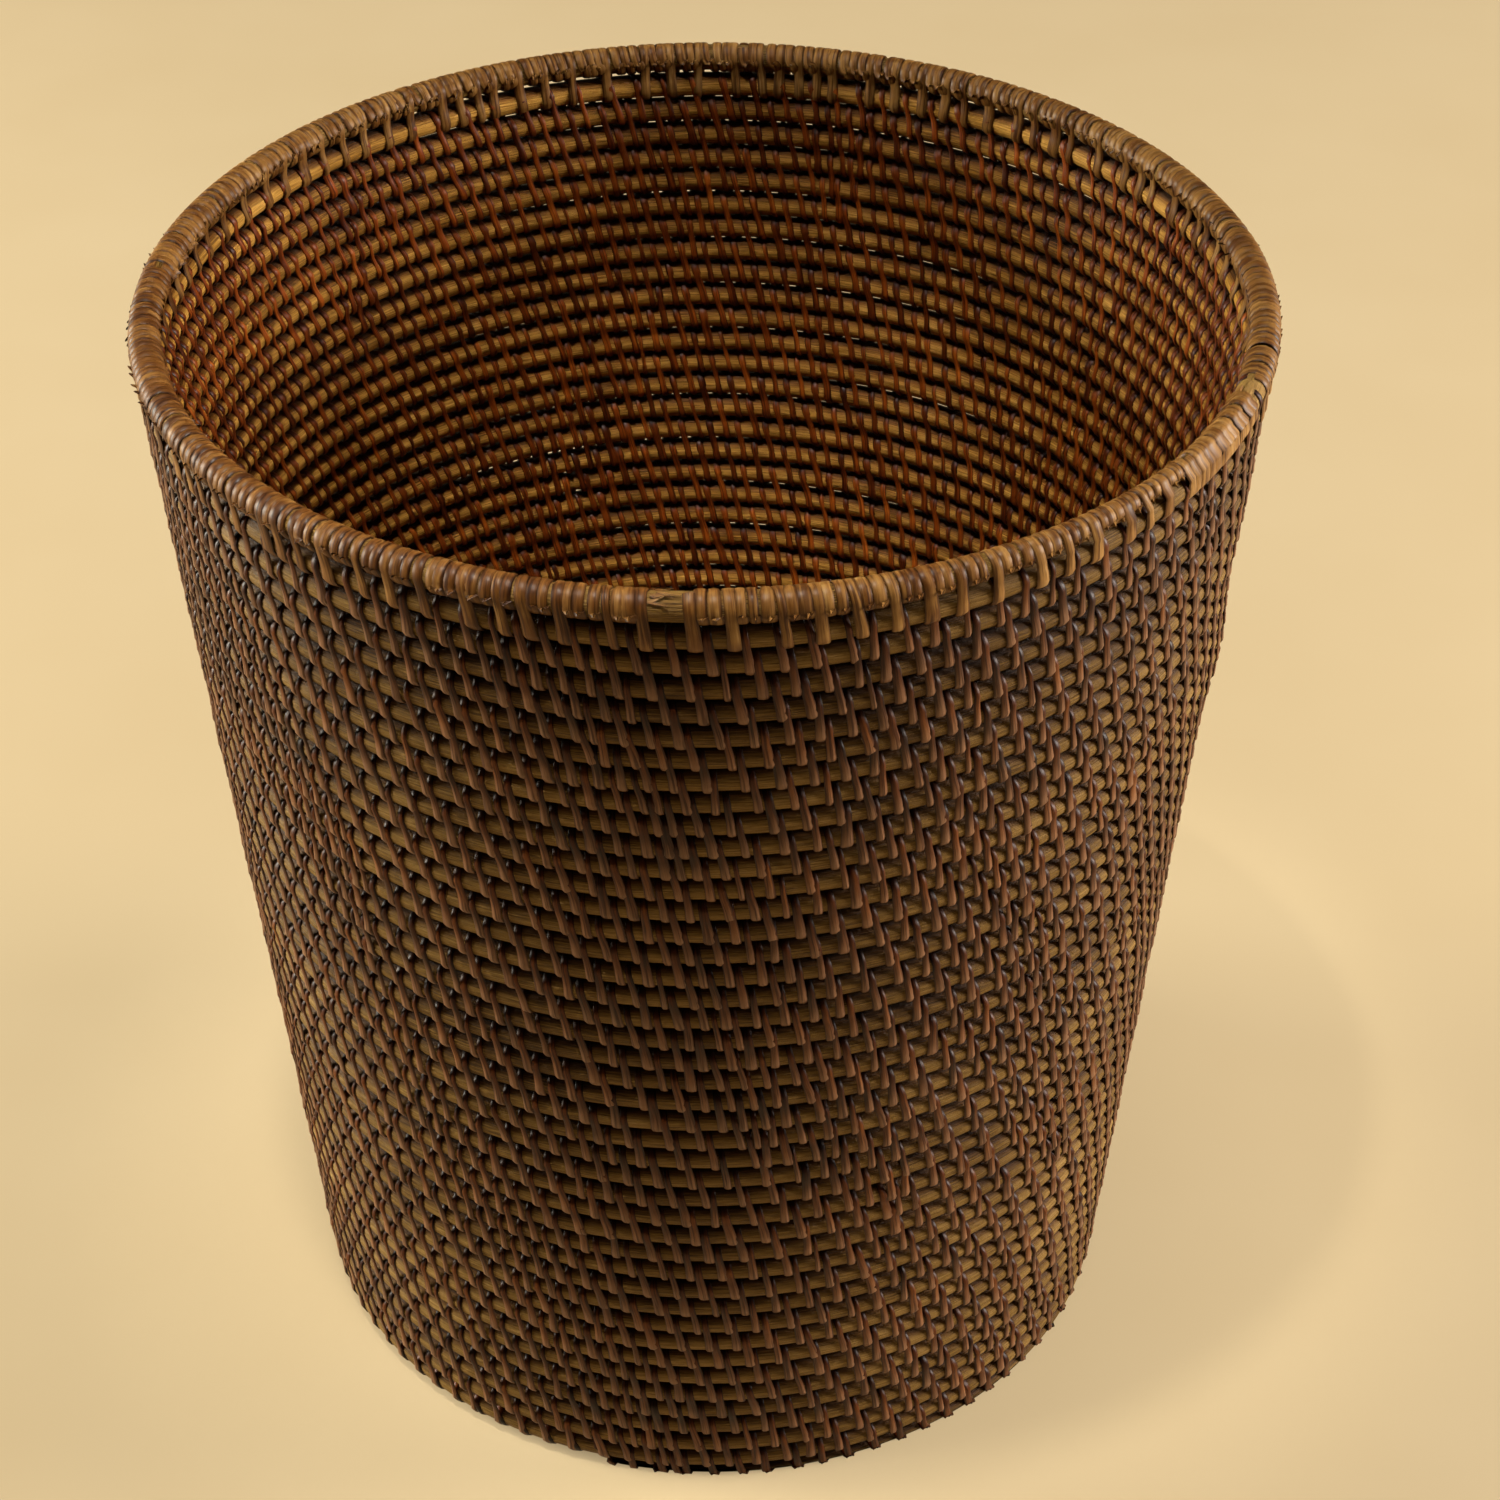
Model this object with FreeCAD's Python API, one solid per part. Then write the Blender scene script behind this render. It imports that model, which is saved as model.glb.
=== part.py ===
# Coiled rattan wastebasket, millimetres, +Z up.
# The origin is on the floor, on the basket's own axis.
#
# One round rattan rod climbs from the foot to the rim in a single coil. Each half turn of the coil is
# an exact circular arc between the left side (-X) and the right side (+X) of the basket. The arcs meet
# tangent to each other in the plane y = 0, so the coil rises and widens by half a pitch per half turn.
# Split rattan skin (the binder) sews each row to the next. Here it is a thin sheath round the rods.
# The base is a flat coil of the same rod, and the rim is a level ring of rod with a scarf joint.
import FreeCAD
import Part
import math
import os

from FreeCAD import Vector

# ---- driving dimensions -------------------------------------------------------------------------
HEIGHT = 305.0
TOP_DIAMETER = 280.0
BOTTOM_DIAMETER = 227.4
WALL_ROWS = 41

ROD_RADIUS = 3.25
BINDER_THICKNESS = 0.35
RIM_ROD_RADIUS = 3.45
RIM_WRAP_THICKNESS = 0.75
FIT_GAP = 0.1

TURNS_PER_ROD_LENGTH = 4
TURNS_PER_BINDER_LENGTH = 2
THINNEST_PARED_END = 1.0

BASE_FLOOR_GAP = 2.0
BASE_CLEARANCE = 0.2
BASE_FIRST_RADIUS = 1.85
BASE_LENGTHS = {"center": (0, 10), "middle": (10, 20), "edge": (20, 28)}

# Places on the rim, in degrees counter-clockwise from +X seen from above.
SCARF_TIP = -21.0
SCARF_LENGTH = 36.0
SCARF_GAP = 0.3
LASHING_START = -38.0
LASHING_END = -14.0
LASHING_LOOPS = 7
LASHING_GAP = 0.9
SPLICE_ANGLE = -94.6
BARE_PATCH_END = -91.6
RIM_WRAP_ARCS = {
    "rim_wrap_right": (LASHING_END, 85.0),
    "rim_wrap_back": (85.0, 175.0),
    "rim_wrap_left": (175.0, 360.0 + SPLICE_ANGLE),
    "rim_wrap_front": (BARE_PATCH_END, LASHING_START),
}
TAIL_LENGTH = 8.0
TAIL_WIDTH = 2.4
TAIL_THICKNESS = 0.5

# ---- sizes worked out from them -----------------------------------------------------------------
SHEATH_RADIUS = ROD_RADIUS + BINDER_THICKNESS
RIM_RADIUS = RIM_ROD_RADIUS + RIM_WRAP_THICKNESS
RIM_CENTRE_Z = HEIGHT - RIM_RADIUS
RIM_CENTRE_R = TOP_DIAMETER / 2 - RIM_RADIUS
WALL_TOP_Z = RIM_CENTRE_Z - RIM_RADIUS - FIT_GAP
PITCH_Z = WALL_TOP_Z / WALL_ROWS
FOOT_CENTRE_R = BOTTOM_DIAMETER / 2 - SHEATH_RADIUS
WALL_SLOPE = (RIM_CENTRE_R - FOOT_CENTRE_R) / RIM_CENTRE_Z
LAST_JUNCTION = 2 * (WALL_ROWS + 1)
BASE_CENTRE_Z = BASE_FLOOR_GAP + SHEATH_RADIUS
BASE_EDGE_R = FOOT_CENTRE_R - SHEATH_RADIUS - BASE_CLEARANCE
BASE_LAST_JUNCTION = BASE_LENGTHS["edge"][1]
BASE_LAST_RADIUS = BASE_EDGE_R - SHEATH_RADIUS
BASE_HALF_PITCH = (BASE_LAST_RADIUS - BASE_FIRST_RADIUS) / BASE_LAST_JUNCTION
BIG = 2 * HEIGHT

# Turn of a rod's seam line, in degrees from its outer side towards its underside. The pared turns have
# it on the side that is cut away, so that each cut face has one plain outline.
SEAM_OUTSIDE = 0
SEAM_UNDERSIDE = 90
SEAM_TOP = -90

Z_AXIS = Vector(0, 0, 1)
Y_AXIS = Vector(0, 1, 0)


# ---- paths --------------------------------------------------------------------------------------
def wall_junction(index):
    """Centre of the wall's rod where it crosses y = 0: even on the left, odd on the right."""
    side = -1 if index % 2 == 0 else 1
    z = (index - 1) * PITCH_Z / 2
    return Vector(side * (FOOT_CENTRE_R + WALL_SLOPE * z), 0, z)


def base_junction(index):
    """The same for the flat coil of the base."""
    side = -1 if index % 2 == 0 else 1
    return Vector(side * (BASE_FIRST_RADIUS + index * BASE_HALF_PITCH), 0, BASE_CENTRE_Z)


def coil_path(junction, first, last):
    """Tangent half-turn arcs through the junctions from first to last, counter-clockwise from above."""
    arcs = []
    for index in range(first, last):
        start = junction(index)
        end = junction(index + 1)
        bulge = -1 if index % 2 == 0 else 1
        top = (start + end) * 0.5 + Y_AXIS * (bulge * (end - start).Length / 2)
        arcs.append(Part.Arc(start, top, end).toShape())
    return Part.Wire(arcs)


def rim_path(start_deg, end_deg):
    """A level arc of the rim's centre line."""
    circle = Part.Circle(Vector(0, 0, RIM_CENTRE_Z), Z_AXIS, RIM_CENTRE_R)
    return Part.Wire([Part.Edge(circle, math.radians(start_deg), math.radians(end_deg))])


# ---- solids along a path ------------------------------------------------------------------------
def rod(path, radius, seam=SEAM_OUTSIDE):
    """A round rod whose centre line is the path, with its surface's seam line on the side given."""
    edge = path.Edges[0]
    start = edge.valueAt(edge.FirstParameter)
    tangent = edge.tangentAt(edge.FirstParameter)
    section = Part.Circle(start, tangent, radius).toShape()
    section.rotate(start, tangent, seam)
    return path.makePipeShell([Part.Wire([section])], True, False)


def sheath(path, inner, outer, seam=SEAM_OUTSIDE):
    """A hollow round skin from the inner to the outer radius."""
    return rod(path, outer, seam).cut(rod(path, inner, seam))


def block(x_low, x_high, y_low, y_high, z_low, z_high):
    """A box between two opposite corners."""
    corner = Vector(x_low, y_low, z_low)
    return Part.makeBox(x_high - x_low, y_high - y_low, z_high - z_low, corner)


# ---- wall ---------------------------------------------------------------------------------------
def pared_reach():
    """How far left of x = 0 a pared half turn of rod keeps its least thickness."""
    buried = ROD_RADIUS - THINNEST_PARED_END
    return FOOT_CENTRE_R * (4 * buried / PITCH_Z - 1)


def pare_foot(shape):
    """Cut the coil's first turn level with the floor and drop its thin start."""
    below_floor = block(-BIG, BIG, -BIG, BIG, -BIG, 0)
    thin_start = block(-BIG, -pared_reach(), -BIG, 0, -BIG, BIG)
    return shape.cut(below_floor).cut(thin_start)


def pare_top(shape):
    """Cut the coil's last turn level under the rim and drop its thin end."""
    above_wall = block(-BIG, BIG, -BIG, BIG, WALL_TOP_Z, BIG)
    thin_end = block(-BIG, -pared_reach(), 0, BIG, -BIG, BIG)
    return shape.cut(above_wall).cut(thin_end)


def wall_lengths(turns):
    """Junction numbers where each length of so many turns starts and ends, between the pared turns."""
    step = 2 * turns
    return [(first, first + step) for first in range(2, LAST_JUNCTION - 2, step)]


def make_wall(nodes):
    foot = coil_path(wall_junction, 0, 2)
    top = coil_path(wall_junction, LAST_JUNCTION - 2, LAST_JUNCTION)
    nodes["foot_wedge"] = pare_foot(rod(foot, ROD_RADIUS, SEAM_UNDERSIDE))
    nodes["foot_binder"] = pare_foot(sheath(foot, ROD_RADIUS, SHEATH_RADIUS, SEAM_UNDERSIDE))
    for number, (first, last) in enumerate(wall_lengths(TURNS_PER_ROD_LENGTH), 1):
        path = coil_path(wall_junction, first, last)
        nodes["wall_core_%02d" % number] = rod(path, ROD_RADIUS)
    for number, (first, last) in enumerate(wall_lengths(TURNS_PER_BINDER_LENGTH), 1):
        path = coil_path(wall_junction, first, last)
        nodes["wall_binder_%02d" % number] = sheath(path, ROD_RADIUS, SHEATH_RADIUS)
    nodes["top_wedge"] = pare_top(rod(top, ROD_RADIUS, SEAM_TOP))
    nodes["top_binder"] = pare_top(sheath(top, ROD_RADIUS, SHEATH_RADIUS, SEAM_TOP))


# ---- base ---------------------------------------------------------------------------------------
def make_base(nodes):
    """A flat coil from a rounded start at the centre to a pared end where it meets the wall."""
    start = base_junction(0)
    for name, (first, last) in BASE_LENGTHS.items():
        path = coil_path(base_junction, first, last)
        core = rod(path, ROD_RADIUS)
        skin = rod(path, SHEATH_RADIUS)
        if name == "center":
            core = core.fuse(Part.makeSphere(ROD_RADIUS, start))
            skin = skin.fuse(Part.makeSphere(SHEATH_RADIUS, start))
        nodes["base_core_" + name] = core
        nodes["base_binder_" + name] = skin.cut(core)
    nodes["base_core_wedge"] = pared_base_end()


def pared_base_end():
    """The base rod's last half turn, pared to half its thickness between the coil and the wall."""
    start = base_junction(BASE_LAST_JUNCTION)
    thin = ROD_RADIUS / 2
    end = Vector(BASE_EDGE_R - thin, 0, BASE_CENTRE_Z)
    middle = (start + end) * 0.5 - Y_AXIS * ((end - start).Length / 2)
    path = Part.Wire([Part.Arc(start, middle, end).toShape()])
    thick_end = Part.Wire([Part.Circle(start, Y_AXIS, ROD_RADIUS).toShape()])
    thin_end = Part.Wire([Part.Circle(end, Y_AXIS, thin).toShape()])
    return path.makePipeShell([thick_end, thin_end], True, False)


# ---- rim ----------------------------------------------------------------------------------------
def rim_point(angle_deg, radius, z):
    """A point at an angle round the basket's axis."""
    angle = math.radians(angle_deg)
    return Vector(radius * math.cos(angle), radius * math.sin(angle), z)


def scarf_cut():
    """A thin slanted slab through the rim rod, rising to the top of the rod at the scarf's tip."""
    width = 4 * RIM_ROD_RADIUS
    rise = 2 * RIM_ROD_RADIUS
    length = math.hypot(SCARF_LENGTH, rise) * 1.1
    middle_deg = SCARF_TIP - math.degrees(SCARF_LENGTH / 2 / RIM_CENTRE_R)
    slab = block(-width / 2, width / 2, -length / 2, length / 2, -SCARF_GAP / 2, SCARF_GAP / 2)
    slab.rotate(Vector(0, 0, 0), Vector(1, 0, 0), math.degrees(math.atan2(rise, SCARF_LENGTH)))
    slab.rotate(Vector(0, 0, 0), Z_AXIS, middle_deg)
    slab.translate(rim_point(middle_deg, RIM_CENTRE_R, RIM_CENTRE_Z))
    return slab


def make_rim(nodes):
    ring = Part.makeTorus(RIM_CENTRE_R, RIM_ROD_RADIUS, Vector(0, 0, RIM_CENTRE_Z))
    nodes["rim_core"] = ring.cut(scarf_cut())
    for name, (start, end) in RIM_WRAP_ARCS.items():
        nodes[name] = sheath(rim_path(start, end), RIM_ROD_RADIUS, RIM_RADIUS)
    nodes["rim_scarf_lashing"] = Part.Compound(lashing_loops())
    nodes["rim_binder_tail"] = binder_tail()


def lashing_loops():
    """Separate wide loops that tie the scarfed ends of the rim rod together."""
    step = (LASHING_END - LASHING_START) / LASHING_LOOPS
    loops = []
    for index in range(LASHING_LOOPS):
        start = LASHING_START + index * step + LASHING_GAP / 2
        path = rim_path(start, start + step - LASHING_GAP)
        loops.append(sheath(path, RIM_ROD_RADIUS, RIM_RADIUS))
    return loops


def binder_tail():
    """The loose end of a binder strip, lying along the bare patch on the rim's outer shoulder."""
    half = TAIL_LENGTH / 2
    low = -TAIL_WIDTH / 2
    tail = block(RIM_ROD_RADIUS, RIM_ROD_RADIUS + TAIL_THICKNESS, -half, half, low, -low)
    tail.rotate(Vector(0, 0, 0), Y_AXIS, -45.0)
    middle_deg = (SPLICE_ANGLE + BARE_PATCH_END) / 2
    tail.rotate(Vector(0, 0, 0), Z_AXIS, middle_deg)
    tail.translate(rim_point(middle_deg, RIM_CENTRE_R, RIM_CENTRE_Z))
    return tail


def main():
    os.makedirs("parts", exist_ok=True)
    nodes = {}
    make_base(nodes)
    make_wall(nodes)
    make_rim(nodes)
    for name, shape in nodes.items():
        shape.exportStep("parts/%s.step" % name)
        print(name, shape.isValid(), len(shape.Solids), round(shape.Volume), shape.BoundBox)


main()
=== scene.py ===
"""Coiled rattan wastebasket: the looks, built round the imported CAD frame.

One rod climbs from the foot to the rim. A place on it is a number of turns: whole numbers fall at the
seam azimuth, and the row below any place is one turn less. Strips of split rattan (the binder) sew each
row to the one below, one stitch after the other, in one long ribbon that goes round both rods.
"""
import math

import bmesh
import bpy
import numpy as np
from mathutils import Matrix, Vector


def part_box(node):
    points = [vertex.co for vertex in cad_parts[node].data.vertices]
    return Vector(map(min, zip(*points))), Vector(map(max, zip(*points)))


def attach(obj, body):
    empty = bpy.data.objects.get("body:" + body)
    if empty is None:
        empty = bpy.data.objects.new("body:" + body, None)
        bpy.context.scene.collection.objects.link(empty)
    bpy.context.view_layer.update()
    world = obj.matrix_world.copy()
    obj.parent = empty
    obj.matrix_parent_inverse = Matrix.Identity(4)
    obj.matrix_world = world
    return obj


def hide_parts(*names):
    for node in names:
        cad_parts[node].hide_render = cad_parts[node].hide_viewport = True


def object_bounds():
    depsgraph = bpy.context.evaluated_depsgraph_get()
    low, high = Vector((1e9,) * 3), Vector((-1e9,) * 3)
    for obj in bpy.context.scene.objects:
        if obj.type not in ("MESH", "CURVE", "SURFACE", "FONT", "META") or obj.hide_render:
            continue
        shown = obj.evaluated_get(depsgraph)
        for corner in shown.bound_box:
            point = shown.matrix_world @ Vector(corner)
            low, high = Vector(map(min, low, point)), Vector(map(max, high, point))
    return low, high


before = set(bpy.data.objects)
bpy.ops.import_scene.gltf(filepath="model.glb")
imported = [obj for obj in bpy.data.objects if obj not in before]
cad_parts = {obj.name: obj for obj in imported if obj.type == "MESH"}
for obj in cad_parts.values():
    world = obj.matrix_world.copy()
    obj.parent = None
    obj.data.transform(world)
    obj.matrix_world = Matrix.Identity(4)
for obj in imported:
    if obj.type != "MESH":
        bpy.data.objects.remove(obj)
CAD_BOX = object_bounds()

MM = 0.001
rng = np.random.default_rng(7)

# ---- sizes from the frame -----------------------------------------------------------------------
RIM_CORE_LOW, RIM_CORE_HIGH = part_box("rim_core")
RIM_WRAP_LOW, RIM_WRAP_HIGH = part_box("rim_wrap_back")
BASE_CORE_LOW, BASE_CORE_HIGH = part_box("base_core_edge")
HEIGHT = CAD_BOX[1].z
TOP_RADIUS = (CAD_BOX[1].x - CAD_BOX[0].x) / 2
ROD_RADIUS = (BASE_CORE_HIGH.z - BASE_CORE_LOW.z) / 2
RIM_ROD_RADIUS = (RIM_CORE_HIGH.z - RIM_CORE_LOW.z) / 2
RIM_RADIUS = (RIM_WRAP_HIGH.z - RIM_WRAP_LOW.z) / 2
RIM_Z = HEIGHT - RIM_RADIUS
RIM_R = TOP_RADIUS - RIM_RADIUS
BASE_Z = (BASE_CORE_HIGH.z + BASE_CORE_LOW.z) / 2
BASE_EDGE = (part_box("base_core_wedge")[1].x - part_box("base_core_wedge")[0].x) / 2
FOOT_R = (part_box("foot_wedge")[1].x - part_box("foot_wedge")[0].x) / 2 - ROD_RADIUS
SLOPE = (RIM_R - FOOT_R) / RIM_Z

# ---- the coil -----------------------------------------------------------------------------------
# Azimuths are in degrees, counter-clockwise from +X seen from above. Whole turns fall at the seam.
SEAM_DEG = 8.0
COIL_START_DEG = -105.0
COIL_START = (COIL_START_DEG - SEAM_DEG) / 360
# The last turn lies on the rim. It starts at RIM_TURN, and its end is pared by up to PARED_MOST.
RIM_TURN = 42
COIL_END_DEG = -21.0
COIL_END = RIM_TURN + (COIL_END_DEG + 360 - SEAM_DEG) / 360
PARED_MOST = 0.5
# Near the rim a row stays level, and steps up to the next one over this stretch before the seam.
RISE_DEG = 100.0
RISE_SHARE = RISE_DEG / 360
LEVELLED_TURNS = 14
FIRST_Z = 0.2 * MM
RIM_GAP = 0.9 * MM
RIM_STEP = ROD_RADIUS + RIM_ROD_RADIUS + RIM_GAP
ROW_PITCH = (RIM_Z - RIM_STEP - FIRST_Z) / (RIM_TURN - 1)
# The bulge is one place on the right where the wall stands out a little.
BULGE_DEG = -10.0
BULGE_WIDTH_DEG = 7.0
BULGE_Z = 0.7 * HEIGHT
BULGE_HEIGHT = 12 * MM
BULGE_DEPTH = 1.6 * MM
# The wall's rod and its cane are made of lengths, which start at the left, at azimuth 180.
LENGTH_START = (180 - SEAM_DEG) / 360
TURNS_PER_ROD = 4
TURNS_PER_STRIP = 2
ROD_NODES = 10
BINDER_NODES = 20
LENGTH_JITTER = 0.2
RIM_ROD_EARLY = 0.06
# Unevenness: its size, its waves in radians for each turn, and where the first wave starts.
WALL_THICKNESS_WOBBLE = (0.07 * MM, (31.0, 47.3, 83.9), 0.4)
WALL_HEIGHT_WOBBLE = (0.22 * MM, (9.1, 17.7, 29.3), 0.9)
WALL_RADIUS_WOBBLE = (0.25 * MM, (7.3, 13.9, 23.1), 2.2)
BASE_THICKNESS_WOBBLE = (0.06 * MM, (11.0, 23.7), 0.4)
BASE_HEIGHT_WOBBLE = (0.15 * MM, (5.3, 8.9, 15.1), 0.5)
WAVE_OFFSET = 1.7
STEADY_TURNS = 1.5

# ---- the binder ---------------------------------------------------------------------------------
STITCH_PITCH = 7.45 * MM
STAGGER = 2.95 * MM
OUTER_LEAN = 2.2 * MM
STRIP_WIDTH = 2.1 * MM
STRIP_THICKNESS = 0.5 * MM
# How unevenly the stitches of the wall and base are set, and the chance of adding one where it is missing.
WALL_JITTER = 0.35 * MM
WALL_ADDING = 0.05
BASE_JITTER = 0.3 * MM
BASE_ADDING = 0.6
STITCHES_PER_STRIP = 95
# The rim's wraps. The cane's torn end and a bare stretch of rod lie between the left run and the front one.
RIM_STRIP_WIDTH = 2.9 * MM
RIM_STRIP_THICKNESS = 0.6 * MM
RIM_WRAP_PITCH = 2.6 * MM
RIM_WRAP_JITTER = 0.3 * MM
RIM_LEAN = 2.0 * MM
RIM_CROWN = 0.8
WRAPS_TO_NEXT_LONG = (2, 3, 3, 4)
WRAPS_START_DEG = -19.5
LASHING_DEG = (322.0, 336.6)
LASHING_LOOPS = 11
LASHING_JITTER_TURNS = 0.0005
LASHING_WIDTH = RIM_STRIP_WIDTH * 1.2
RIM_RUNS = (
    ("right", WRAPS_START_DEG, 85.0),
    ("back", 85.0, 175.0),
    ("left", 175.0, 265.4),
    ("front", 268.4, LASHING_DEG[0]),
)
# A strip's section, as shares of its width and thickness: a crowned face and a flat back.
STRIP_SECTION = ((-0.5, 0.2), (-0.36, 0.78), (0.0, 1.0), (0.36, 0.78), (0.5, 0.2), (0.4, 0.0), (-0.4, 0.0))


def smooth(x):
    """A smooth step from 0 to 1."""
    x = np.clip(x, 0.0, 1.0)
    return x * x * (3 - 2 * x)


def azimuth(turn):
    """Angle of a place on the coil, in radians."""
    return np.radians(SEAM_DEG) + 2 * np.pi * turn


def along(turn):
    """Unit vector along the rod, counter-clockwise seen from above."""
    angle = azimuth(turn)
    return np.stack([-np.sin(angle), np.cos(angle), 0 * angle], -1)


def wobble(turn, size, waves, phase):
    """A slow, small unevenness along the coil, as a hand-laid rod has."""
    total = 0.0
    for number, wave in enumerate(waves):
        total = total + np.sin(turn * wave + phase + WAVE_OFFSET * number) / len(waves)
    return size * total


def wall_height(turn):
    """Height of the rod's centre. Low rows climb evenly; near the rim they run level and then step up."""
    whole = np.floor(turn)
    part = turn - whole
    level = smooth((part - 1 + RISE_SHARE) / RISE_SHARE)
    share = smooth((turn - RIM_TURN + LEVELLED_TURNS) / LEVELLED_TURNS)
    climbed = whole + part + share * (level - part)
    last_step = smooth((turn - RIM_TURN + RISE_SHARE) / RISE_SHARE)
    rows = np.minimum(climbed, RIM_TURN - 1 + last_step)
    return FIRST_Z + ROW_PITCH * rows + last_step * (RIM_STEP - ROW_PITCH)


def pared_share(turn):
    """Share of the rod cut away towards the coil's end, where the row below rises into its place."""
    return np.minimum(smooth((turn - RIM_TURN - 1 + RISE_SHARE) / RISE_SHARE), PARED_MOST)


def wall_radius(turn):
    """Radius of the rod itself. It is a little thicker in the rim, and pared thin towards the coil's end."""
    thick = smooth((turn - RIM_TURN + RISE_SHARE) / RISE_SHARE)
    radius = ROD_RADIUS + thick * (RIM_ROD_RADIUS - ROD_RADIUS)
    radius = radius + wobble(turn, *WALL_THICKNESS_WOBBLE)
    return radius * (1 - pared_share(turn))


def bulge(angle, z):
    """One place on the right where the wall has been knocked outwards a little."""
    beside = np.degrees(np.angle(np.exp(1j * (angle - np.radians(BULGE_DEG))))) / BULGE_WIDTH_DEG
    above = (z - BULGE_Z) / BULGE_HEIGHT
    return BULGE_DEPTH * np.exp(-(beside ** 2) - above ** 2)


def wall_centre(turn):
    """The rod's centre line up the wall and round the rim. Its height is steadier near the rim."""
    turn = np.asarray(turn, float)
    z = wall_height(turn) + pared_share(turn) * RIM_ROD_RADIUS
    free = 1 - smooth((turn - RIM_TURN + STEADY_TURNS) / STEADY_TURNS)
    z = z + free * wobble(turn, *WALL_HEIGHT_WOBBLE)
    angle = azimuth(turn)
    r = FOOT_R + SLOPE * z + wobble(turn, *WALL_RADIUS_WOBBLE) + bulge(angle, z)
    return np.stack([r * np.cos(angle), r * np.sin(angle), z], -1)


BASE_TURNS = 14
BASE_END = BASE_TURNS + 0.9
BASE_PARED = 0.85
BASE_RODS = (("center", 0, 5), ("middle", 5, 10), ("edge", 10, BASE_TURNS))
BASE_STITCHES = (("center", 0, 5), ("middle", 5, 10), ("edge", 10, BASE_TURNS + 1))
BASE_FIRST_R = 1.9 * MM
BASE_PITCH = (BASE_EDGE - ROD_RADIUS - BASE_FIRST_R) / BASE_TURNS


def base_radius(turn):
    """The base rod keeps its thickness until its last turn, which is pared to fit the wall."""
    pared = np.clip(turn - BASE_TURNS, 0, 1)
    return ROD_RADIUS * (1 - BASE_PARED * pared) + wobble(turn, *BASE_THICKNESS_WOBBLE)


def base_centre(turn):
    """A flat spiral from the basket's axis out to the wall."""
    turn = np.asarray(turn, float)
    spiral = BASE_FIRST_R + BASE_PITCH * turn
    r = np.minimum(spiral, BASE_EDGE - base_radius(turn))
    z = BASE_Z + wobble(turn, *BASE_HEIGHT_WOBBLE)
    angle = azimuth(turn)
    return np.stack([r * np.cos(angle), r * np.sin(angle), z + 0 * r], -1)


def below_wall(turn):
    """Centre of the rod that a wall stitch reaches down to: the row below, or the base's edge at the foot."""
    turn = np.asarray(turn, float)
    angle = azimuth(turn)
    edge = BASE_EDGE - ROD_RADIUS
    at_base = np.stack([edge * np.cos(angle), edge * np.sin(angle), BASE_Z + 0 * angle], -1)
    has_row = (turn - 1 >= COIL_START)[..., None]
    return np.where(has_row, wall_centre(turn - 1), at_base)


def below_base(turn):
    """Centre of the base rod one turn further in, or the basket's axis inside the first turn."""
    turn = np.asarray(turn, float)
    inner = base_centre(np.maximum(turn - 1, 0))
    axis = np.stack([0 * turn, 0 * turn, BASE_Z + 0 * turn], -1)
    return np.where((turn >= 1)[..., None], inner, axis)


# ---- mesh helpers -------------------------------------------------------------------------------
NEARLY_NOTHING = 1e-12
# Each map starts at a random length, up to this many millimetres, so that no two pieces look the same.
MAP_SPREAD = 1000
SHARP_DEG = 50
SHEET_GAP_ALONG = 0.02
SHEET_GAP_ACROSS = 0.06
SHEET_CAP_CORNER = 0.001
# Each strip of the sheet has about this many times as many rings as the sheet has strips.
SHEET_SHAPE = 4


def sheet_map(count, around):
    """A second map that lays the whole skin out once, in strips one above the other, for baking.

    The two end caps share one tiny spot in the map's corner."""
    strips = max(int(math.sqrt(count / SHEET_SHAPE)), 1)
    per_strip = math.ceil((count - 1) / strips)
    ring = np.repeat(np.arange(count - 1), around)
    left = (ring % per_strip + SHEET_GAP_ALONG) / per_strip
    right = (ring % per_strip + (1 - SHEET_GAP_ALONG)) / per_strip
    strip = ring // per_strip
    side = np.tile(np.arange(around), count - 1)
    used = 1 - 2 * SHEET_GAP_ACROSS
    low = (strip + SHEET_GAP_ACROSS + used * side / around) / strips
    high = (strip + SHEET_GAP_ACROSS + used * (side + 1) / around) / strips
    quads = np.stack([left, low, left, high, right, high, right, low], -1)
    return np.concatenate([quads.ravel(), np.full(around * 4, SHEET_CAP_CORNER)])


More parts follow.
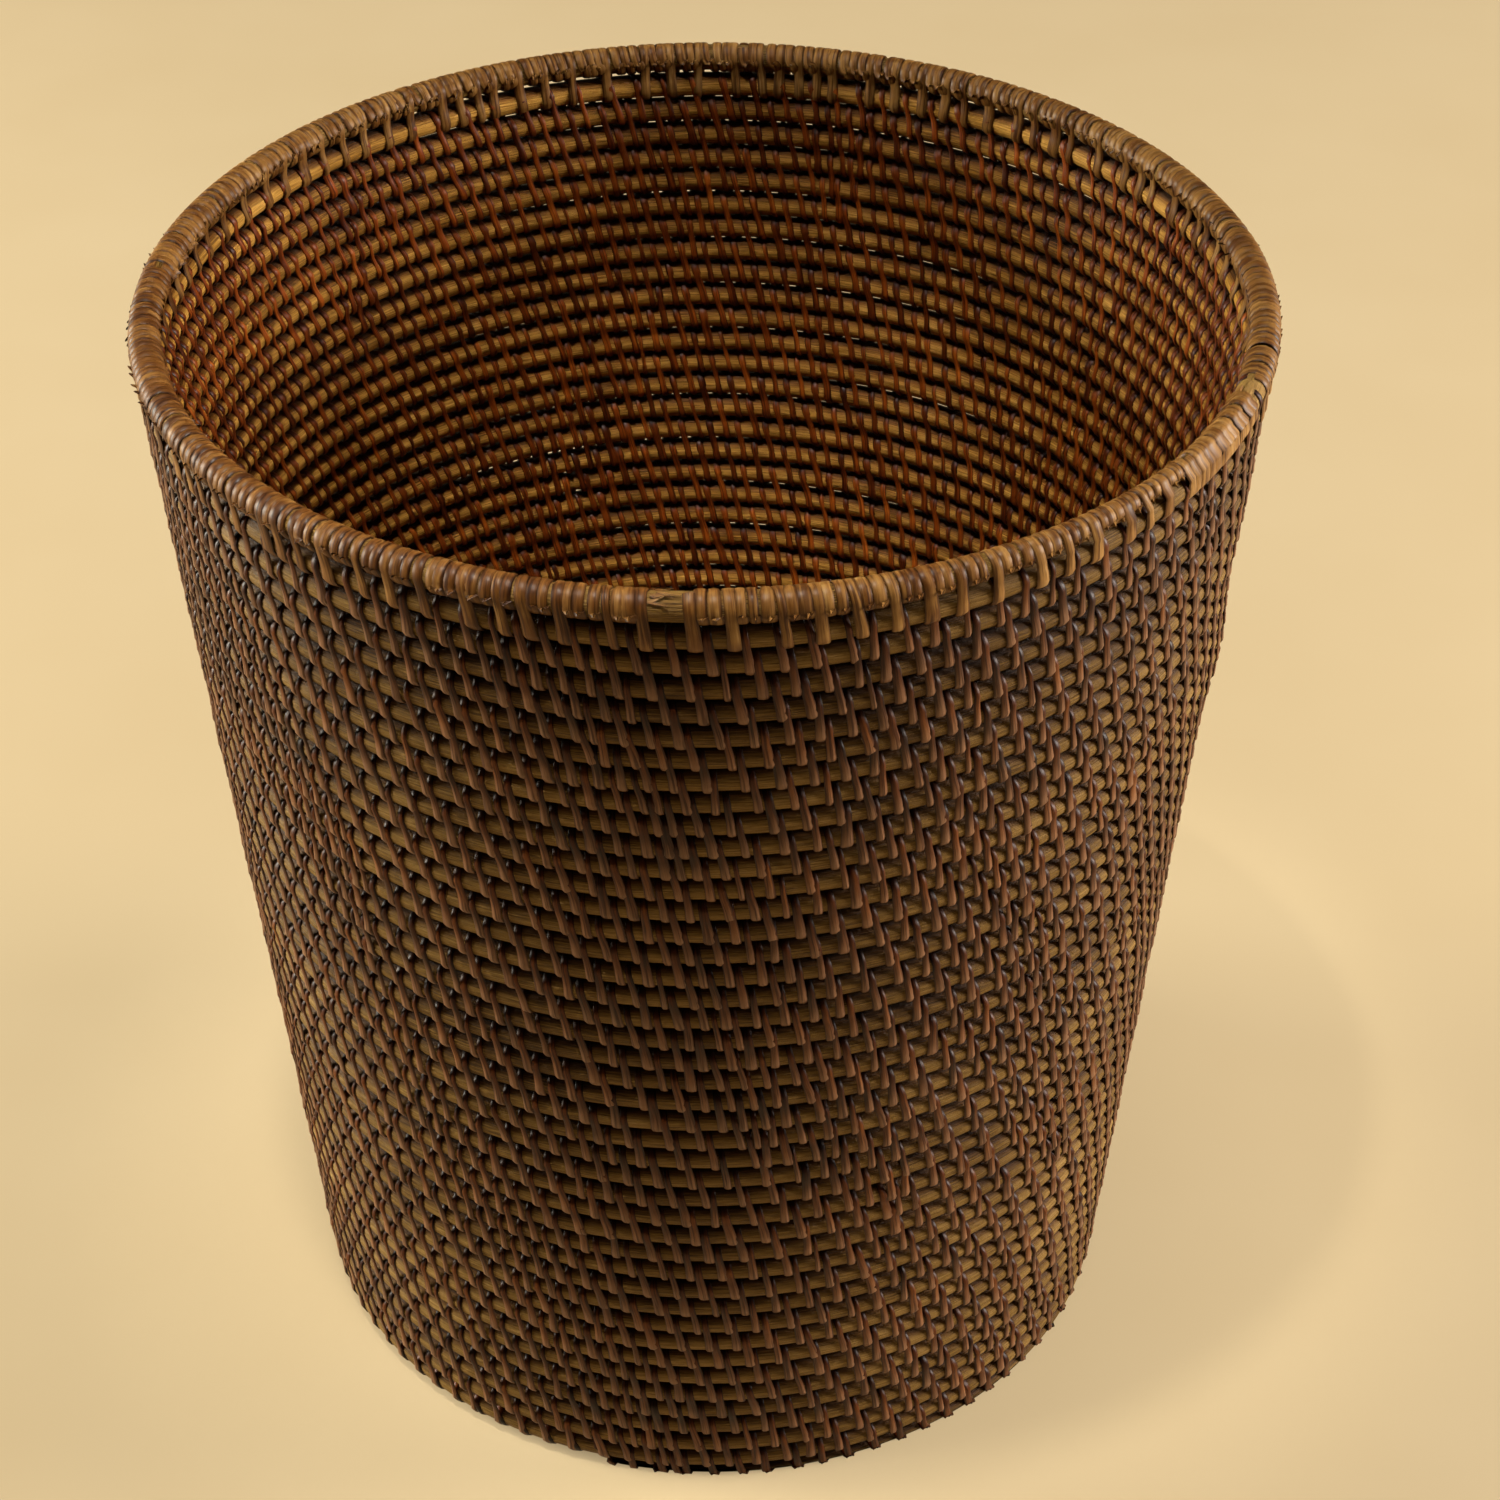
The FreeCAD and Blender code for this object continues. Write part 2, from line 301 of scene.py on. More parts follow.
def ring_mesh(name, rings, lengths, widths, **values):
    """A closed solid through rings of points, mapped by lengths along it and by widths round it.

    Each further value, one number for each ring, becomes an attribute that the materials read."""
    count, around = rings.shape[:2]
    index = np.arange(count * around).reshape(count, around)
    near = index[:-1]
    far = index[1:]
    quads = np.stack([near, np.roll(near, -1, 1), np.roll(far, -1, 1), far], -1).reshape(-1, 4)
    caps = np.concatenate([index[0][::-1], index[-1]])
    corners = np.concatenate([quads.ravel(), caps])
    starts = np.concatenate([np.arange(len(quads)) * 4, len(quads) * 4 + np.array([0, around])])
    mesh = bpy.data.meshes.new(name)
    mesh.vertices.add(count * around)
    mesh.vertices.foreach_set("co", rings.astype(np.float32).ravel())
    mesh.loops.add(len(corners))
    mesh.loops.foreach_set("vertex_index", corners.astype(np.int32))
    mesh.polygons.add(len(starts))
    mesh.polygons.foreach_set("loop_start", starts.astype(np.int32))
    mesh.polygons.foreach_set("use_smooth", np.ones(len(starts), bool))
    mesh.update(calc_edges=True)
    u_near = np.repeat(lengths[:-1], around)
    u_far = np.repeat(lengths[1:], around)
    v_low = np.tile(widths[:-1], count - 1)
    v_high = np.tile(widths[1:], count - 1)
    quad_map = np.stack([u_near, v_low, u_near, v_high, u_far, v_high, u_far, v_low], -1)
    cap_u = np.repeat([lengths[0], lengths[-1]], around)
    cap_map = np.stack([cap_u, np.tile(widths[:-1], 2)], -1)
    layer = mesh.uv_layers.new(name="along")
    layer.data.foreach_set("uv", np.concatenate([quad_map.ravel(), cap_map.ravel()]).astype(np.float32))
    sheet = mesh.uv_layers.new(name="OFBake")
    sheet.data.foreach_set("uv", sheet_map(count, around).astype(np.float32))
    for label, value in values.items():
        attribute = mesh.attributes.new(label, "FLOAT", "POINT")
        attribute.data.foreach_set("value", np.repeat(value, around).astype(np.float32))
    mesh.set_sharp_from_angle(angle=math.radians(SHARP_DEG))
    return mesh


def add_piece(name, mesh, material, slot, *nodes):
    """A mesh as a piece of the basket that stands for the named CAD nodes."""
    piece = bpy.data.objects.new(name, mesh)
    bpy.context.scene.collection.objects.link(piece)
    mesh.materials.append(material)
    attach(piece, "root")
    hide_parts(*nodes)


def unit(vectors):
    """The same directions, one unit long."""
    return vectors / np.maximum(np.linalg.norm(vectors, axis=-1, keepdims=True), NEARLY_NOTHING)


def rod_rings(centres, radii, around):
    """Round sections square to a centre line, cut flat just above the floor, where cane goes under them."""
    tangent = unit(np.gradient(centres, axis=0))
    side = unit(np.cross(tangent, np.array([0.0, 0.0, 1.0])))
    up = np.cross(side, tangent)
    angle = np.linspace(0, 2 * np.pi, around, endpoint=False)
    spokes = np.cos(angle)[None, :, None] * side[:, None] + np.sin(angle)[None, :, None] * up[:, None]
    rings = centres[:, None] + radii[:, None, None] * spokes
    rings[..., 2] = np.maximum(rings[..., 2], STRIP_THICKNESS)
    return rings


ROD_SECTION_POINTS = 16
RINGS_PER_TURN = 220
END_ROUNDING = 0.6 * MM
# Painted shade between the rows, and painted light on the faces inside the basket, start to fade this many
# turns before the rim's turn, and fade over this many.
SHADE_FADE_BEFORE = 0.3
SHADE_FADE_TURNS = 0.2


def rod_mesh(name, centre, radius, first, last, lying=0.0):
    """A stretch of rod from one place on its coil to another, with rounded ends.

    lying is 1 for the base, where the basket's inside is above the rod."""
    count = int(abs(last - first) * RINGS_PER_TURN) + 2
    turn = np.linspace(first, last, count)
    centres = centre(turn)
    radii = radius(turn)
    steps = np.linalg.norm(np.diff(centres, axis=0), axis=1)
    lengths = np.concatenate([[0], np.cumsum(steps)]) / MM + rng.uniform(0, MAP_SPREAD)
    from_end = np.minimum(lengths - lengths[0], lengths[-1] - lengths) * MM
    radii = radii - END_ROUNDING * (1 - np.sqrt(np.clip(from_end / END_ROUNDING, 0, 1)))
    widths = np.linspace(0, 2 * np.pi * ROD_RADIUS / MM, ROD_SECTION_POINTS + 1)
    tone = np.full(count, rng.uniform())
    buried = 1.0 - smooth((turn - RIM_TURN + SHADE_FADE_BEFORE) / SHADE_FADE_TURNS)
    rings = rod_rings(centres, radii, ROD_SECTION_POINTS)
    return ring_mesh(name, rings, lengths, widths, tone=tone, buried=buried, lying=np.full(count, lying))


# ---- stitches -----------------------------------------------------------------------------------
NEIGHBOUR_SHARE = 0.2
MISSING_LIMIT = 0.6
CLOSEST_SHARE = 0.45


def stitch_places(first, last, centre, jitter, adding):
    """Places of the stitches along a coil.

    Each is set a little back from the stitch one turn below, so that the pattern climbs in diagonals.
    Where the coil has grown wide enough for one more stitch, adding is the chance that it is put in."""
    def girth(turn):
        return 2 * math.pi * max(float(np.linalg.norm(centre(turn)[:2])), STITCH_PITCH / 2)

    places = [first]
    while places[-1] < first + 1:
        places.append(places[-1] + STITCH_PITCH / girth(places[-1]))
    lower = 1
    own_share = 1 - 2 * NEIGHBOUR_SHARE
    while places[-1] < last:
        around = girth(places[-1])
        spread = (
            NEIGHBOUR_SHARE * places[lower - 1]
            + own_share * places[lower]
            + NEIGHBOUR_SHARE * places[lower + 1]
        )
        place = spread + 1 + (rng.normal(0, jitter) - STAGGER) / around
        missing = around / STITCH_PITCH - (len(places) - lower)
        if missing > MISSING_LIMIT and rng.random() < adding:
            places.append((places[-1] + place) / 2)
        places.append(max(place, places[-1] + CLOSEST_SHARE * STITCH_PITCH / around))
        lower += 1
    return np.array(places)


# One stitch, as steps round the two rods: which rod, angle round it, share of the way along the stitch,
# and width. Rod 0 is the stitch's own, rod 1 the one below. Angle 0 faces out of the basket, and 90 up.
LOOP = (
    (0, 90, 0.00, 0.75), (0, 62, 0.03, 0.80), (0, 36, 0.07, 0.86), (0, 12, 0.12, 0.90),
    (0.25, 0, 0.19, 0.94), (0.5, 0, 0.26, 0.98), (0.75, 0, 0.33, 1.04), (1, -12, 0.40, 1.12),
    (1, -36, 0.45, 1.14), (1, -62, 0.48, 1.05), (1, -90, 0.50, 0.80), (1, -118, 0.53, 0.86),
    (1, -144, 0.57, 0.94), (1, -168, 0.62, 0.94), (0.75, 180, 0.69, 0.88), (0.5, 180, 0.76, 0.84),
    (0.25, 180, 0.83, 0.88), (0, 168, 0.90, 0.94), (0, 144, 0.95, 0.94), (0, 118, 0.98, 0.86),
)
LOOP_ROD, LOOP_ANGLE, LOOP_SHARE, LOOP_WIDTH = np.array(LOOP, float).T
LOOP_ANGLE = np.radians(LOOP_ANGLE)
# How far each step is hidden between rods, where the cane is darkened as painted shade. A rim wrap is hidden
# only under the rod.
LOOP_TUCKED = np.abs(np.sin(LOOP_ANGLE)) ** 3
RIM_TUCKED = np.maximum(-np.sin(LOOP_ANGLE), 0) ** 3
# How close each step on the outside is to the stitch's lower end, and how far each one faces inwards. The
# cane gets a painted sheen near that end, painted shade away from it, and painted light where it faces
# inwards.
LOOP_END = LOOP_ROD ** 2 * (LOOP_SHARE <= 0.5)
LOOP_INSIDE = np.maximum(-np.cos(LOOP_ANGLE), 0)
# How far a stitch sinks in between the two rods, on the inside of the basket and on the outside.
INNER_DIP = 0.9 * MM
OUTER_DIP = 0.35 * MM
LOOP_DIP = np.where(LOOP_SHARE > 0.5, INNER_DIP, OUTER_DIP)
# A rim wrap stays nearly as wide all the way round.
RIM_NARROWING = np.maximum(LOOP_WIDTH, 0.96)
# Share of its way on to the next stitch that the ribbon makes at each hidden turn, under and over the rods.
# The hidden turns end and start at HIDDEN_ENDS, as shares of the inner half of the stitch.
HIDDEN_ADVANCE = 0.24
HIDDEN_ENDS = (0.06, 0.96)
STITCH_LIFT = 0.16 * MM
# How much stitches differ in lean and width, and the share of its lean that a wrap keeps if it goes round
# one rod only.
LEAN_SPREAD = 0.25
WIDTH_SPREAD = 0.13
SHORT_LEAN = 0.3


def strip_rings(line, side, width, thickness, crown=1.0):
    """Strip sections along a line. side points across each one, and crown says how rounded its face is."""
    tangent = unit(np.gradient(line, axis=0))
    side = unit(side - (side * tangent).sum(-1, keepdims=True) * tangent)
    face = np.cross(tangent, side)
    across, height = np.array(STRIP_SECTION).T
    height = np.where(height > 0, 1 - crown * (1 - height), 0)
    width = np.broadcast_to(width, len(line))
    rings = (
        line[:, None]
        + side[:, None] * across[None, :, None] * width[:, None, None]
        + face[:, None] * (height[None, :, None] - 0.5) * thickness
    )
    rings[..., 2] = np.maximum(rings[..., 2], 0)
    return rings


def strip_mesh(name, line, rings, **values):
    """A strip through its rings, mapped in millimetres along it and from 0 to 1 across it."""
    steps = np.linalg.norm(np.diff(line, axis=0), axis=1)
    lengths = np.concatenate([[0], np.cumsum(steps)]) / MM + rng.uniform(0, MAP_SPREAD)
    cuts = np.array([point[0] for point in STRIP_SECTION + STRIP_SECTION[:1]]) + 0.5
    return ring_mesh(name, rings, lengths, cuts, **values)


def ribbon_mesh(name, places, centre, below, radius, width, thickness, reach=None, lean=OUTER_LEAN, crown=1.0,
                tucked=LOOP_TUCKED, hidden=HIDDEN_ADVANCE, narrowing=LOOP_WIDTH):
    """A run of stitches as one ribbon.

    reach says how far each loop goes towards the rod below, and is 1 for all of them if it isn't given."""
    count = len(places) - 1
    start = places[:-1, None]
    gap = np.diff(places)[:, None]
    reach = np.ones((count, 1)) if reach is None else reach[:count, None]
    girth = 2 * np.pi * np.linalg.norm(centre(start)[..., :2], axis=-1)
    leaning = lean / girth * rng.normal(1, LEAN_SPREAD, (count, 1)) * (SHORT_LEAN + (1 - SHORT_LEAN) * reach)
    outer = np.clip(LOOP_SHARE * 2, 0, 1)[None]
    inner = np.interp(LOOP_SHARE * 2 - 1, (0, *HIDDEN_ENDS, 1), (0, hidden, 1 - hidden, 1))[None]
    turn = start + leaning * outer + (gap - leaning) * inner
    own = centre(turn)
    other = below(turn)
    up = unit(own - other)
    out = np.cross(along(turn), up)
    rod_share = LOOP_ROD[None] * reach
    middle = own + rod_share[..., None] * (other - own)
    dip = LOOP_DIP * np.sin(np.pi * LOOP_ROD)[None] * reach
    lift = STITCH_LIFT * rod_share
    distance = (thickness / 2 + radius(turn - rod_share) - dip + lift)[..., None]
    cosine = np.cos(LOOP_ANGLE)[None, :, None]
    sine = np.sin(LOOP_ANGLE)[None, :, None]
    line = (middle + distance * (cosine * out + sine * up)).reshape(-1, 3)
    line[:, 2] = np.maximum(line[:, 2], thickness / 2)
    widths = (width * rng.normal(1, WIDTH_SPREAD, (count, 1)) * narrowing).ravel()
    rings = strip_rings(line, along(turn).reshape(-1, 3), widths, thickness, crown)
    return strip_mesh(
        name, line, rings,
        tone=np.repeat(strip_tones(count), len(LOOP)),
        tucked=np.tile(tucked, count),
        end=(LOOP_END * reach).ravel(),
        inside=np.tile(LOOP_INSIDE, count),
    )


STRIP_TONE = 0.55
STITCH_TONE = 0.45


def strip_tones(count):
    """A tone for each stitch: each strip has its own, and single stitches stray a little from it."""
    strips = rng.uniform(0, 1, count // STITCHES_PER_STRIP + 2)
    first = rng.integers(0, STITCHES_PER_STRIP)
    strip = strips[(np.arange(count) + first) // STITCHES_PER_STRIP]
    return np.clip(STRIP_TONE * strip + STITCH_TONE * rng.uniform(0, 1, count), 0, 1)


# ---- materials ----------------------------------------------------------------------------------
def linear(red, green, blue):
    """A colour given in the usual 0 to 255 steps, as linear light."""
    steps = [channel / 255 for channel in (red, green, blue)]
    return tuple(s / 12.92 if s <= 0.04045 else ((s + 0.055) / 1.055) ** 2.4 for s in steps) + (1.0,)


class Nodes:
    """Short names for the nodes that the materials share."""

    def __init__(self, name):
        self.material = bpy.data.materials.new(name)
        self.material.use_nodes = True
        self.tree = self.material.node_tree
        self.shader = self.tree.nodes["Principled BSDF"]

    def add(self, kind, **settings):
        node = self.tree.nodes.new(kind)
        for key, value in settings.items():
            setattr(node, key, value)
        return node

    def link(self, source, target):
        self.tree.links.new(source, target)

    def uv(self, along, across):
        """The piece's own map, stretched: small factors make long streaks."""
        source = self.add("ShaderNodeUVMap", uv_map="along")
        mapping = self.add("ShaderNodeMapping")
        mapping.inputs["Scale"].default_value = (along, across, 1)
        self.link(source.outputs["UV"], mapping.inputs["Vector"])
        return mapping.outputs["Vector"]

    def in_space(self):
        return self.add("ShaderNodeTexCoord").outputs["Object"]

    def attribute(self, name):
        return self.add("ShaderNodeAttribute", attribute_name=name).outputs["Fac"]

    def noise(self, vector, scale, detail=3.0, rough=0.55):
        node = self.add("ShaderNodeTexNoise")
        node.inputs["Scale"].default_value = scale
        node.inputs["Detail"].default_value = detail
        node.inputs["Roughness"].default_value = rough
        self.link(vector, node.inputs["Vector"])
        return node.outputs["Fac"]

    def ramp(self, value, *stops):
        """A blend through colours, each given with its place from 0 to 1."""
        node = self.add("ShaderNodeValToRGB")
        elements = node.color_ramp.elements
        while len(elements) < len(stops):
            elements.new(0.5)
        for element, (place, colour) in zip(elements, stops):
            element.position = place
            element.color = colour
        self.link(value, node.inputs["Fac"])
        return node.outputs["Color"]

    def scaled(self, value, low, high):
        """A value from 0 to 1 spread from low to high."""
        node = self.add("ShaderNodeMapRange")
        node.inputs["To Min"].default_value = low
        node.inputs["To Max"].default_value = high
        self.link(value, node.inputs["Value"])
        return node.outputs["Result"]

    def maths(self, operation, first, second=0.0):
        node = self.add("ShaderNodeMath", operation=operation)
        for socket, value in zip(node.inputs, (first, second)):
            if isinstance(value, (int, float)):
                socket.default_value = value
            else:
                self.link(value, socket)
        return node.outputs["Value"]

    def mix(self, kind, share, first, second):
        """Two colours mixed; share is a number or a value from a node."""
        node = self.add("ShaderNodeMix", data_type="RGBA", blend_type=kind)
        share_socket, first_socket, second_socket = node.inputs[0], node.inputs[6], node.inputs[7]
        for socket, value in ((share_socket, share), (first_socket, first), (second_socket, second)):
            if isinstance(value, (int, float, tuple)):
                socket.default_value = value
            else:
                self.link(value, socket)
        return node.outputs[2]

    def bump(self, height, distance, strength=1.0, under=None):
        node = self.add("ShaderNodeBump")
        node.inputs["Distance"].default_value = distance
        node.inputs["Strength"].default_value = strength
        self.link(height, node.inputs["Height"])
        if under:
            self.link(under, node.inputs["Normal"])
        return node.outputs["Normal"]


def rod_material():
    """Peeled cane: tan, with fine fibres along it, darker patches, painted shade where the rows meet, and
    painted light on its inner faces.
    """
    m = Nodes("rod_cane")
    fibres = m.noise(m.uv(0.035, 1.0), 2.6, detail=5.0, rough=0.65)
    pores = m.noise(m.uv(0.25, 3.0), 2.4, detail=2.0)
    patches = m.noise(m.in_space(), 38.0, detail=2.0)
    tone = m.maths("ADD", m.maths("MULTIPLY", m.attribute("tone"), 0.10), m.maths("MULTIPLY", patches, 0.32))
    tone = m.maths("ADD", tone, m.maths("MULTIPLY", fibres, 0.68))
    colour = m.ramp(
        tone,
        (0.32, linear(34, 19, 5)),
        (0.44, linear(74, 49, 15)),
        (0.56, linear(116, 86, 37)),
        (0.74, linear(156, 123, 70)),
    )
    specks = m.ramp(pores, (0.30, (0.30, 0.20, 0.10, 1)), (0.42, (1, 1, 1, 1)))
    colour = m.mix("MULTIPLY", 0.55, colour, specks)
    split = m.add("ShaderNodeSeparateXYZ")
    m.link(m.uv(1.0, MM / ROD_RADIUS), split.inputs["Vector"])
    angle = m.maths("ADD", split.outputs["Y"], m.maths("MULTIPLY", m.attribute("lying"), math.pi / 2))
    facing_up = m.maths("SINE", angle)
    facing_in = m.maths("MULTIPLY", m.maths("COSINE", angle), -1.0)
    # Painted light: faces that look into the basket are brightened and yellowed, except on the rim.
    inside = m.maths("MULTIPLY", m.maths("MAXIMUM", facing_in, 0.0), m.attribute("buried"))
    colour = m.mix("MULTIPLY", inside, colour, (2.1, 1.9, 1.3, 1))
    # Painted shade: the rod is darkened nearly to black where it faces the neighbouring rows, and this fades
    # out on the rim.
    groove_shade = m.ramp(
        m.maths("ADD", m.maths("MULTIPLY", facing_up, 0.5), 0.5),
        (0.0, (0.03, 0.015, 0.006, 1)),
        (0.10, (0.34, 0.24, 0.15, 1)),
        (0.20, (1, 1, 1, 1)),
        (0.66, (1, 1, 1, 1)),
        (0.86, (0.42, 0.30, 0.18, 1)),
        (1.0, (0.05, 0.025, 0.01, 1)),
    )
    colour = m.mix("MULTIPLY", m.attribute("buried"), colour, groove_shade)
    m.link(colour, m.shader.inputs["Base Color"])
    m.link(m.scaled(fibres, 0.36, 0.60), m.shader.inputs["Roughness"])
    m.shader.inputs["Specular IOR Level"].default_value = 0.12
    coarse = m.bump(fibres, 0.35 * MM)
    m.link(m.bump(pores, 0.12 * MM, under=coarse), m.shader.inputs["Normal"])
    return m.material


TONE_SHARE = 0.26
STREAK_SHARE = 0.46


def strip_material(name, stops, roughness, sheen_strength, inside):
    """Split cane with its skin on: satin, streaked along, with painted shade at its edges, and each strip of
    its own colour.

    The lower end of each stitch on the outside gets a painted pale sheen for the floor's reflection, and the
    rest of the stitch gets painted shade, darkest where it is hidden between rods. Where it faces into the
    basket it is multiplied by inside, which brightens the wall's cane as painted light."""
    m = Nodes(name)
    streaks = m.noise(m.uv(0.05, 2.6), 1.7, detail=4.0, rough=0.6)
    fine = m.noise(m.uv(0.04, 2.2), 1.3, detail=2.0)
    patches = m.noise(m.in_space(), 130.0, detail=2.0)
    tone = m.maths("MULTIPLY", m.attribute("tone"), TONE_SHARE)
    tone = m.maths("ADD", tone, m.maths("MULTIPLY", streaks, STREAK_SHARE))
    tone = m.maths("ADD", tone, m.maths("MULTIPLY", patches, 1 - TONE_SHARE - STREAK_SHARE))
    colour = m.ramp(tone, *stops)
    # Painted reflection: the lower end of each stitch on the outside is mixed towards a pale grey-brown
    # sheen.
    sheen_mask = m.maths("MULTIPLY", m.attribute("end"), m.scaled(streaks, 0.2 * sheen_strength, 1.5 * sheen_strength))
    colour = m.mix("MIX", sheen_mask, colour, linear(136, 100, 72))
    fibre_lines = m.ramp(fine, (0.39, (0.20, 0.10, 0.05, 1)), (0.50, (1, 1, 1, 1)))
    colour = m.mix("MULTIPLY", 0.75, colour, fibre_lines)
    across = m.add("ShaderNodeSeparateXYZ")
    m.link(m.uv(1.0, 1.0), across.inputs["Vector"])
    from_middle = m.maths("ABSOLUTE", m.maths("SUBTRACT", across.outputs["Y"], 0.5))
    # Painted shade along both edges of each strip, for the dark gaps between strips.
    edge_shade = m.ramp(from_middle, (0.34, (1, 1, 1, 1)), (0.48, (0.22, 0.13, 0.07, 1)))
    colour = m.mix("MULTIPLY", 0.75, colour, edge_shade)
    # Painted shade: all of each stitch but its lower end on the outside is darkened.
    stitch_shade = m.ramp(m.attribute("end"), (0.0, (0.72, 0.68, 0.64, 1)), (0.7, (1.0, 1.0, 1.0, 1)))
    colour = m.mix("MULTIPLY", 1.0, colour, stitch_shade)
    # Painted light: where the cane faces into the basket it is multiplied by inside, which brightens the
    # wall's cane.
    colour = m.mix("MULTIPLY", m.attribute("inside"), colour, inside)
    # Painted shade: the cane is darkened nearly to black where it is hidden between the rods, or under the
    # rim's rod.
    colour = m.mix("MULTIPLY", m.attribute("tucked"), colour, (0.06, 0.03, 0.015, 1))
    m.link(colour, m.shader.inputs["Base Color"])
    m.link(m.scaled(streaks, roughness, roughness + 0.26), m.shader.inputs["Roughness"])
    m.shader.inputs["Specular IOR Level"].default_value = 0.12
    m.shader.inputs["Coat Weight"].default_value = 0.06
    m.shader.inputs["Coat Roughness"].default_value = 0.3
    ridges = m.bump(streaks, 0.12 * MM)
    m.link(m.bump(fine, 0.07 * MM, under=ridges), m.shader.inputs["Normal"])
    return m.material


WALL_STRIP_STOPS = (
    (0.24, linear(26, 9, 1)),
    (0.40, linear(56, 23, 4)),
    (0.54, linear(88, 42, 9)),
    (0.66, linear(116, 63, 18)),
    (0.80, linear(140, 88, 40)),
)
RIM_STRIP_STOPS = (
    (0.28, linear(56, 27, 7)),
    (0.42, linear(104, 65, 23)),
    (0.56, linear(146, 107, 54)),
    (0.74, linear(184, 148, 94)),
)
CANE = rod_material()
# The wall's cane is brightened about two and a half times where it faces into the basket, as painted light.
BINDER = strip_material("binder_cane", WALL_STRIP_STOPS, roughness=0.30, sheen_strength=0.8, inside=(2.7, 2.4, 1.8, 1))
RIM_BINDER = strip_material("rim_cane", RIM_STRIP_STOPS, roughness=0.34, sheen_strength=0.15, inside=(1, 1, 1, 1))


# ---- the basket's pieces ------------------------------------------------------------------------
def lengths_of_rod():
    """The lengths of rod that are laid end to end: each one's name, first and last place, and CAD node."""
    starts = [LENGTH_START + TURNS_PER_ROD * number for number in range(ROD_NODES + 1)]
    starts = [start + rng.uniform(-LENGTH_JITTER, LENGTH_JITTER) for start in starts]
    rim_start = RIM_TURN - RIM_ROD_EARLY
    pieces = [("foot_rod", COIL_START, starts[0], "foot_wedge")]
    for number in range(ROD_NODES):
        name = f"wall_rod_{number + 1:02d}"
        pieces.append((name, starts[number], starts[number + 1], f"wall_core_{number + 1:02d}"))
    pieces.append(("top_rod", starts[-1], rim_start, "top_wedge"))
    pieces.append(("rim_rod", rim_start, COIL_END, "rim_core"))
    return pieces


def add_rods():
    for name, first, last, node in lengths_of_rod():
        mesh = rod_mesh(name, wall_centre, wall_radius, first, last)
        add_piece(name, mesh, CANE, "rattan_core", node)
    for part, first, last in BASE_RODS:
        name = f"base_rod_{part}"
        mesh = rod_mesh(name, base_centre, base_radius, first, last, 1.0)
        add_piece(name, mesh, CANE, "rattan_core", f"base_core_{part}")
    mesh = rod_mesh("base_rod_end", base_centre, base_radius, BASE_TURNS, BASE_END, 1.0)
    add_piece("base_rod_end", mesh, CANE, "rattan_core", "base_core_wedge")


def run_of(places, first, last):
    """The places from one turn to another, and the one after, so that the next run joins on."""
    low = np.searchsorted(places, first)
    high = np.searchsorted(places, last)
    return places[low:high + 1]


def rim_turn(degrees):
    """Place on the rim's turn at an azimuth, counted on from the seam."""
    return RIM_TURN + (degrees - SEAM_DEG) / 360


RIM_FIRST = rim_turn(WRAPS_START_DEG)
WALL_FIRST_STITCH = COIL_START + 0.01
BASE_FIRST_STITCH = 0.15


def add_wall_stitches():
    places = stitch_places(WALL_FIRST_STITCH, RIM_FIRST, wall_centre, WALL_JITTER, WALL_ADDING)
    runs = [("foot_stitches", COIL_START, LENGTH_START, "foot_binder")]
    for number in range(BINDER_NODES):
        first = LENGTH_START + TURNS_PER_STRIP * number
        label = f"{number + 1:02d}"
        runs.append((f"wall_stitches_{label}", first, first + TURNS_PER_STRIP, f"wall_binder_{label}"))
    runs.append(("top_stitches", LENGTH_START + TURNS_PER_STRIP * BINDER_NODES, RIM_FIRST, "top_binder"))
    for name, first, last, node in runs:
        run = run_of(places, first, last)
        mesh = ribbon_mesh(name, run, wall_centre, below_wall, wall_radius, STRIP_WIDTH, STRIP_THICKNESS)
        add_piece(name, mesh, BINDER, "rattan_binder", node)


def add_base_stitches():
    places = stitch_places(BASE_FIRST_STITCH, BASE_END, base_centre, BASE_JITTER, BASE_ADDING)
    for part, first, last in BASE_STITCHES:
        run = run_of(places, first, last)
        name = f"base_stitches_{part}"
        mesh = ribbon_mesh(name, run, base_centre, below_base, base_radius, STRIP_WIDTH, STRIP_THICKNESS)
        add_piece(name, mesh, BINDER, "rattan_binder", f"base_binder_{part}")


def rim_ribbon(name, places, width, reach):
    """Wraps round the rim, which lie flatter than the wall's stitches and stay wide all the way round."""
    return ribbon_mesh(
        name, places, wall_centre, below_wall, wall_radius, width, RIM_STRIP_THICKNESS, reach,
        lean=RIM_LEAN, crown=RIM_CROWN, tucked=RIM_TUCKED, hidden=0.0, narrowing=RIM_NARROWING,
    )


def add_rim_wraps():
    """The rim: after each long stitch come one to three short wraps that go round the rim only."""
    girth = 2 * math.pi * RIM_R
    for side, first, last in RIM_RUNS:
        count = int((last - first) / 360 * girth / RIM_WRAP_PITCH)
        places = np.linspace(rim_turn(first), rim_turn(last), count + 1)
        places[1:-1] += rng.normal(0, RIM_WRAP_JITTER, count - 1) / girth
        reach = np.zeros(count)
        number = 0
        while number < count:
            reach[number] = 1.0
            number += int(rng.choice(WRAPS_TO_NEXT_LONG))
        name = f"rim_wraps_{side}"
        mesh = rim_ribbon(name, places, RIM_STRIP_WIDTH, reach)
        add_piece(name, mesh, RIM_BINDER, "rim_binder", f"rim_wrap_{side}")


